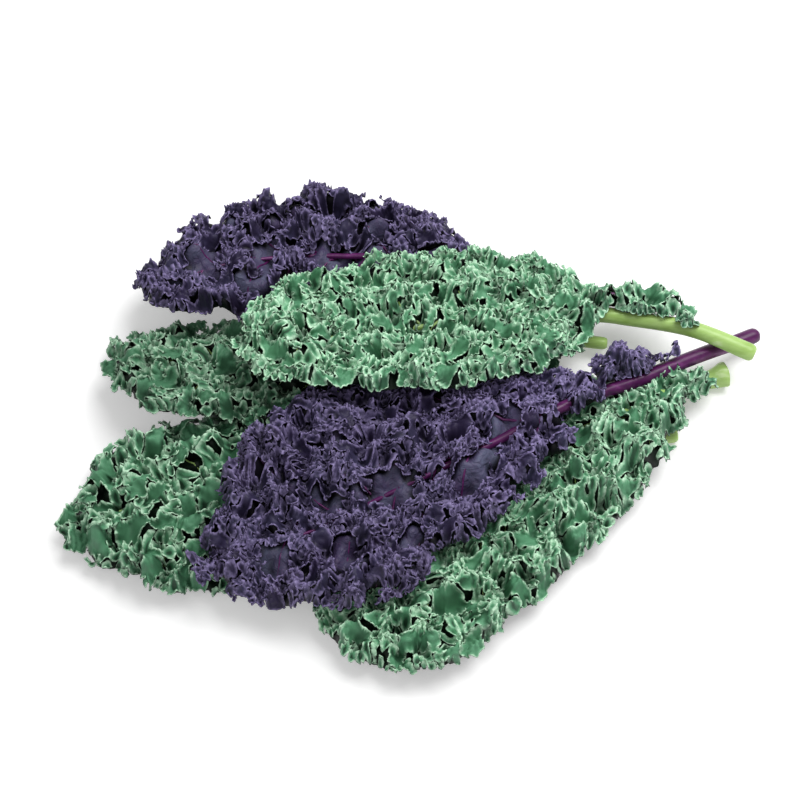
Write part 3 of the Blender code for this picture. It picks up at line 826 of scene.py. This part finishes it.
def leaf_material(name, rim, face, patch, deep, lamina, lamina_patch, vein):
    """Kale blade: a leaf under a thin coat of wax, with a pale margin and a net of veins. The pale rims are
    partly the margin's own colour and partly a painted highlight.

    The wax gives the eye a dull, slightly blue bloom, with no sharp highlights. The hollows, and the lamina
    under the ruffles, are painted near black: painted shade, as little light gets in there.
    """
    made, shader, add = new_material(name)
    link = made.node_tree.links.new
    place = add("ShaderNodeTexCoord").outputs["Object"]
    from_rim, opened, shade = (
        add("ShaderNodeAttribute", {"attribute_name": key}).outputs["Fac"]
        for key in ("from_rim", "open", "shade")
    )
    blotch = add("ShaderNodeTexNoise", Vector=place, Scale=per(26), Detail=3.0).outputs["Fac"]
    grain = add("ShaderNodeTexNoise", Vector=place, Scale=per(2.4), Detail=2.0).outputs["Fac"]

    # The margin: a pale rim broken up by grain, partly its own colour and partly painted highlight; the sheet
    # below it; and painted shade in the hollow
    halved = add("ShaderNodeMath", MULTIPLY, _0=from_rim, _1=0.5).outputs[0]
    sheet, band, worn, hollow_shade_mask = (
        add("ShaderNodeValToRGB", {"stops": stops}, _0=value).outputs[0]
        for value, stops in (
            (blotch, ((0.36, face), (0.64, patch))),
            (halved, ((0.06, "#FFFFFF"), (0.34, "#000000"))),
            (grain, ((0.38, "#A0A0A0"), (0.58, "#FFFFFF"))),
            (halved, ((0.38, "#000000"), (0.60, "#E0E0E0"), (1.0, "#FFFFFF"))),
        )
    )
    # Pale rim, broken up by the grain: partly the margin's own colour, partly painted highlight
    edge = add("ShaderNodeVectorMath", MULTIPLY, _0=band, _1=worn).outputs[0]
    # Painted shade: the hollows, and the lamina under the ruffles, take the near-black hollow colour
    with_hollow_shade = add("ShaderNodeMix", COLOURS, _0=hollow_shade_mask, _6=sheet, _7=deep).outputs[2]
    edged = add("ShaderNodeMix", COLOURS, _0=edge, _6=with_hollow_shade, _7=rim).outputs[2]

    # The lamina. The real net of small veins is 1 to 2 mm wide, too fine to show, so it is drawn at 3.8 mm
    to_edge = {"feature": "DISTANCE_TO_EDGE"}
    net = add("ShaderNodeTexVoronoi", to_edge, Vector=place, Scale=per(3.8)).outputs["Distance"]
    lines, smooth_lamina = (
        add("ShaderNodeValToRGB", {"stops": stops}, _0=value).outputs[0]
        for value, stops in (
            (net, ((0.0, "#707070"), (0.08, "#000000"))),
            (blotch, ((0.38, lamina), (0.62, lamina_patch))),
        )
    )
    veined = add("ShaderNodeMix", COLOURS, _0=lines, _6=smooth_lamina, _7=vein).outputs[2]
    colour = add("ShaderNodeMix", COLOURS, _0=opened, _6=edged, _7=veined).outputs[2]
    # The shade attribute: each leaf's own tone, times painted shade in the valleys between the lumps
    shaded = add("ShaderNodeVectorMath", SCALE, _0=colour, Scale=shade).outputs[0]
    link(painted_downward_shade(add, shaded, -0.25, 0.62, 0.12), shader.inputs["Base Color"])

    bump = add("ShaderNodeBump", Strength=0.25, Distance=0.0004, Height=grain).outputs[0]
    crease = add("ShaderNodeTexNoise", Vector=place, Scale=per(5.3), Distortion=1.2).outputs[0]
    strength = add("ShaderNodeMath", MULTIPLY, _0=opened, _1=0.8).outputs[0]
    wrinkled = add("ShaderNodeBump", Strength=strength, Distance=0.0018, Height=crease, Normal=bump)
    link(wrinkled.outputs[0], shader.inputs["Normal"])
    rough = add("ShaderNodeMapRange", Value=blotch, To_Min=0.44, To_Max=0.62)
    link(rough.outputs[0], shader.inputs["Roughness"])
    shader.inputs["IOR"].default_value = 1.45
    shader.inputs["Specular IOR Level"].default_value = 0.32
    return made


def stalk_material(name, body, streak, tip):
    """Kale stalk: a firm, juicy rind with long fibres under it.

    It gives the eye a soft shine along the stalk, and streaks where the fibres show through the rind.
    """
    made, shader, add = new_material(name)
    link = made.node_tree.links.new
    place = add("ShaderNodeTexCoord").outputs["Object"]
    along = add("ShaderNodeMapping", Vector=place, Scale=(0.15, 1.0, 1.0)).outputs[0]
    fibre = add("ShaderNodeTexNoise", Vector=along, Scale=per(3.0), Detail=3.0).outputs["Fac"]
    blotch = add("ShaderNodeTexNoise", Vector=place, Scale=per(22), Detail=4.0).outputs["Fac"]
    both = add("ShaderNodeMath", {"operation": "ADD"}, _0=fibre, _1=blotch).outputs[0]
    half = add("ShaderNodeMath", MULTIPLY, _0=both, _1=0.5).outputs[0]
    stops = {"stops": ((0.36, body), (0.56, streak), (0.70, tip))}
    rind = add("ShaderNodeValToRGB", stops, _0=half).outputs[0]
    # Painted shade: the rind is darkened where it turns downwards
    link(painted_downward_shade(add, rind, -0.9, 0.4, 0.55), shader.inputs["Base Color"])
    bump = add("ShaderNodeBump", Strength=0.35, Distance=0.0003, Height=fibre)
    link(bump.outputs[0], shader.inputs["Normal"])
    shader.inputs["Roughness"].default_value = 0.36
    shader.inputs["IOR"].default_value = 1.45
    return made


def new_tree(name, inputs):
    """A Geometry Nodes tree with named inputs, its input sockets, and a function that adds nodes to it."""
    tree = bpy.data.node_groups.new(name, "GeometryNodeTree")
    for title, kind in (("Geometry", "Geometry"), *inputs, ("Material", "Material")):
        tree.interface.new_socket(title, in_out="INPUT", socket_type="NodeSocket" + kind)
    tree.interface.new_socket("Geometry", in_out="OUTPUT", socket_type="NodeSocketGeometry")
    add = partial(add_node, tree)
    return tree, add("NodeGroupInput").outputs, add


def end_tree(add, geometry, material):
    """Ends a tree in plain geometry with its material."""
    real = add("GeometryNodeRealizeInstances", Geometry=geometry).outputs[0]
    dressed = add("GeometryNodeSetMaterial", Geometry=real, Material=material).outputs[0]
    add("NodeGroupOutput", Geometry=dressed)


def crinkle_tree():
    """Geometry Nodes: small curls along the rims of the ruffles, by noise of a real size."""
    inputs = ("Crinkle size", "Float"), ("Crinkle reach", "Float"), ("Seed", "Int")
    tree, given, add = new_tree("Rim crinkle", inputs)
    ruffle = add("GeometryNodeInputNamedAttribute", Name="ruffle").outputs[0]
    scale = add("ShaderNodeMath", {"operation": "DIVIDE"}, _0=1, _1=given["Crinkle size"]).outputs[0]
    seeded = {"noise_dimensions": "4D"}
    noise = add("ShaderNodeTexNoise", seeded, W=given["Seed"], Scale=scale, Detail=1.0).outputs["Color"]
    subtract = {"operation": "SUBTRACT"}
    centred = add("ShaderNodeVectorMath", subtract, _0=noise, _1=(0.5, 0.5, 0.5)).outputs[0]
    reach = add("ShaderNodeMath", MULTIPLY, _0=ruffle, _1=given["Crinkle reach"]).outputs[0]
    offset = add("ShaderNodeVectorMath", SCALE, _0=centred, Scale=reach).outputs[0]
    moved = add("GeometryNodeSetPosition", Geometry=given["Geometry"], Offset=offset).outputs[0]
    end_tree(add, moved, given["Material"])
    return tree


def stalk_tree():
    """Geometry Nodes: sweeps a ribbed round profile along the stalk and its veins, with closed ends."""
    tree, given, add = new_tree("Ribbed stalk", (("Sides", "Int"), ("Rib depth", "Float")))
    circle = add("GeometryNodeCurvePrimitiveCircle", Resolution=given["Sides"], Radius=1).outputs[0]
    index = add("GeometryNodeInputIndex").outputs[0]
    turn = add("ShaderNodeMath", MULTIPLY, _0=index, _1=RIB_TURN).outputs[0]
    wave = add("ShaderNodeMath", {"operation": "SINE"}, _0=turn).outputs[0]
    rib = add("ShaderNodeMath", MULTIPLY, _0=wave, _1=given["Rib depth"]).outputs[0]
    place = add("GeometryNodeInputPosition").outputs[0]
    offset = add("ShaderNodeVectorMath", SCALE, _0=place, Scale=rib).outputs[0]
    profile = add("GeometryNodeSetPosition", Geometry=circle, Offset=offset).outputs[0]
    radius = add("GeometryNodeInputRadius").outputs[0]
    swept = add("GeometryNodeCurveToMesh", Curve=given["Geometry"], Profile_Curve=profile, Scale=radius)
    swept.inputs["Fill Caps"].default_value = True
    end_tree(add, swept.outputs[0], given["Material"])
    return tree


def with_nodes(made, tree, **values):
    """Puts a node tree on an object, with its inputs set by their names."""
    modifier = made.modifiers.new(tree.name, "NODES")
    modifier.node_group = tree
    for item in tree.interface.items_tree:
        key = item.name.replace(" ", "_").lower()
        if item.in_out == "INPUT" and key in values:
            modifier[item.identifier] = values[key]


def made_plain(made):
    """A plain mesh object in place of an object and its modifiers."""
    graph = bpy.context.evaluated_depsgraph_get()
    plain = bpy.data.meshes.new_from_object(made.evaluated_get(graph), depsgraph=graph)
    plain.shade_smooth()
    name = made.name
    bpy.data.objects.remove(made)
    return add_object(name, plain)


def colour(name, text):
    """A colour property, from its sRGB hex value."""
    return bpy.props.FloatVectorProperty(
        name=name, description=name + " of the kale", default=linear(text), size=4, subtype="COLOR"
    )


def number(name, text, default, unit="NONE"):
    """A length, or a share where no unit is given."""
    return bpy.props.FloatProperty(name=name, description=text, default=default, unit=unit)


class KaleSettings(bpy.types.PropertyGroup):
    step: number("Sheet step", "Distance between the ruffles' points", 0.00084, "LENGTH")
    thickness: number("Blade thickness", "Thickness of the ruffled margin", 0.0006, "LENGTH")
    fullness: number("Fullness", "How wide the folds are against the gaps between them", 0.07)
    trough: number("Trough", "Depth of a fold against its width", 0.75)
    flare: number("Flare", "How far a fold's rims hang over the gaps, against its width", 0.22)
    lean: number("Lean", "How far the folds lean over, against their width", 0.20)
    crinkle: number("Crinkle", "How far fine curls move the rims, against a fold's width", 0.35)
    # Rims: partly the margin's own paler colour, partly a painted highlight along the crests
    green_rim: colour("Green rims", "#C4E8CA")
    green_face: colour("Green sheets", "#4D8562")
    green_patch: colour("Green sheets, pale patches", "#639C78")
    # Painted shade: the near-black colour of the hollows between the folds and of the lamina under them
    green_deep: colour("Green hollows", "#0C1E12")
    green_lamina: colour("Green lamina", "#4F8A68")
    green_lamina_patch: colour("Green lamina, pale patches", "#6FA28A")
    green_vein: colour("Green veins", "#93C08F")
    # Rims: partly the margin's own paler colour, partly a painted highlight along the crests
    purple_rim: colour("Purple rims", "#8B7FAB")
    purple_face: colour("Purple sheets", "#2E2442")
    purple_patch: colour("Purple sheets, blue patches", "#393552")
    # Painted shade: the near-black colour of the hollows between the folds and of the lamina under them
    purple_deep: colour("Purple hollows", "#0B0812")
    purple_lamina: colour("Purple lamina", "#3F3555")
    purple_lamina_patch: colour("Purple lamina, grey patches", "#555870")
    purple_vein: colour("Purple veins", "#6A4068")
    stalk_green_body: colour("Green stalk", "#9CC162")
    stalk_green_streak: colour("Green stalk, fibres", "#B4D680")
    stalk_green_tip: colour("Green stalk, pale patches", "#D8EBB4")
    stalk_purple_body: colour("Purple stalk", "#3F1040")
    stalk_purple_streak: colour("Purple stalk, fibres", "#5C1E5A")
    stalk_purple_tip: colour("Purple stalk, pale patches", "#7E3A7C")


def margins(settings):
    """Each leaf's margin, with the leaves above it as its ceiling and cover."""
    grounds = [Ground(leaf) for leaf in LEAVES]
    made = []
    for index, leaf in enumerate(LEAVES):
        above = [np.where(g.inside, g.floor.value, FAR) for g in grounds[index + 1 :]]
        lowest = np.minimum.reduce([*above, np.full(Map.shape, FAR)])
        ceiling = Map(lowest).lowest(14, 1.6 * CELL)
        made.append(Margin(leaf, grounds[index], ceiling, Ground.distance(lowest < FAR), settings))
    return made


class KALE_OT_blades(bpy.types.Operator):
    """Replaces each leaf's blade with its lamina and ruffled margin"""

    bl_idname = "kale.blades"
    bl_label = "Ruffled blades"

    def execute(self, context):
        settings = context.scene.kale
        green = leaf_material("waxy_green_kale", **palette(settings, "green"))
        purple = leaf_material("waxy_purple_kale", **palette(settings, "purple"))
        tree = crinkle_tree()
        for margin in margins(settings):
            leaf = margin.leaf
            points, faces, attributes = sheets(margin)
            if not len(faces):
                raise RuntimeError(f"{leaf.name} came out without ruffles")
            material = purple if leaf.purple else green
            blade = mesh_object(leaf.name + "_ruffles", points, faces, material, attributes)
            size, reach = leaf.fold * 0.5, settings.crinkle * leaf.fold
            with_nodes(blade, tree, crinkle_size=size, crinkle_reach=reach, seed=leaf.seed, material=material)
            solid = blade.modifiers.new("thickness", "SOLIDIFY")
            solid.thickness = settings.thickness
            solid.offset = 0
            blade = made_plain(blade)
            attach(blade, "root")
            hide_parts(leaf.name + "_blade")
        return {"FINISHED"}


class KALE_OT_stalks(bpy.types.Operator):
    """Replaces each leaf's stalk with a ribbed one that runs on as the midrib and its side veins"""

    bl_idname = "kale.stalks"
    bl_label = "Stalks and veins"

    def execute(self, context):
        settings = context.scene.kale
        green = stalk_material("green_kale_stalk", **palette(settings, "stalk_green"))
        purple = stalk_material("purple_kale_stalk", **palette(settings, "stalk_purple"))
        tree = stalk_tree()
        for margin in margins(settings):
            leaf = margin.leaf
            courses = [stalk_course(margin), *vein_courses(margin)]
            stalk = curve_object(leaf.name + "_stalk_and_veins", courses)
            material = purple if leaf.purple else green
            with_nodes(stalk, tree, sides=STALK_SIDES, rib_depth=RIB_DEPTH, material=material)
            stalk = made_plain(stalk)
            if not len(stalk.data.polygons):
                raise RuntimeError(f"{leaf.name} came out without a stalk")
            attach(stalk, "root")
            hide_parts(leaf.name + "_stalk")
        return {"FINISHED"}


class KALE_OT_stage(bpy.types.Operator):
    """Adds the floor, the soft light and the camera"""

    bl_idname = "kale.stage"
    bl_label = "Studio stage"

    def execute(self, context):
        scene = context.scene
        white, shader, _ = new_material("paper_floor")  # matt white paper, which shows only soft shadows
        shader.inputs["Base Color"].default_value = linear("#F6F6F6")
        shader.inputs["Roughness"].default_value = 0.9
        shader.inputs["Emission Color"].default_value = linear("#FFFFFF")
        shader.inputs["Emission Strength"].default_value = 0.30  # lit from below, so shadows stay pale
        corners = [(x * FLOOR_REACH, y * FLOOR_REACH, 0) for x, y in ((-1, -1), (1, -1), (1, 1), (-1, 1))]
        floor = mesh_object("floor", corners, [(0, 1, 2), (0, 2, 3)], white)
        world = bpy.data.worlds.new("soft_room")
        world.use_nodes = True
        sky = world.node_tree.nodes["Background"].inputs
        sky["Color"].default_value = (1, 1, 1, 1)
        sky["Strength"].default_value = 0.34
        scene.world = world
        for name, place, width, power in (
            ("key", (0.62, 0.48, 1.5), 1.2, 26),
            ("fill", (-0.9, -0.9, 1.3), 1.4, 5),
        ):
            light = bpy.data.lights.new(name, "AREA")
            light.size = width
            light.energy = power
            lamp = add_object(name, light)
            lamp.location = place
            lamp.rotation_euler = (-Vector(place)).to_track_quat("-Z", "Y").to_euler()
        lens = bpy.data.cameras.new("camera")
        lens.lens = LENS
        lens.sensor_width = SENSOR
        lens.clip_start = 0.01
        camera = add_object("camera", lens)
        back = Vector((0, -math.cos(ELEVATION), math.sin(ELEVATION)))
        upward = Vector((0, math.sin(ELEVATION), math.cos(ELEVATION)))
        target = Vector((*-HEAP_CENTRE, 0)) + Vector((AIM[0], 0, 0)) + AIM[1] * upward
        camera.location = target + back * (PICTURE_WIDTH * LENS / SENSOR)
        roll = Quaternion((0, 0, 1), ROLL)
        camera.rotation_euler = ((-back).to_track_quat("-Z", "Y") @ roll).to_euler()
        scene.camera = camera
        scene.view_settings.view_transform = "Standard"
        if scene.camera is None or not floor.data.polygons:
            raise RuntimeError("the stage has no camera or no floor")
        return {"FINISHED"}


class KALE_PT_panel(bpy.types.Panel):
    """The bunch's sizes and colours, and the steps that build it"""

    bl_idname = "KALE_PT_panel"
    bl_label = "Curly kale"
    bl_space_type = "VIEW_3D"
    bl_region_type = "UI"
    bl_category = "Kale"

    def draw(self, context):
        for key in KaleSettings.__annotations__:
            self.layout.prop(context.scene.kale, key)
        for step in (KALE_OT_blades, KALE_OT_stalks, KALE_OT_stage):
            self.layout.operator(step.bl_idname)


CLASSES = (KaleSettings, KALE_OT_blades, KALE_OT_stalks, KALE_OT_stage, KALE_PT_panel)


def register():
    for each in CLASSES:
        bpy.utils.register_class(each)
    bpy.types.Scene.kale = bpy.props.PointerProperty(type=KaleSettings)


def unregister():
    del bpy.types.Scene.kale
    for each in reversed(CLASSES):
        bpy.utils.unregister_class(each)


def main():
    register()
    bpy.ops.kale.blades()
    bpy.ops.kale.stalks()
    bpy.ops.kale.stage()


if __name__ == "__main__":
    main()
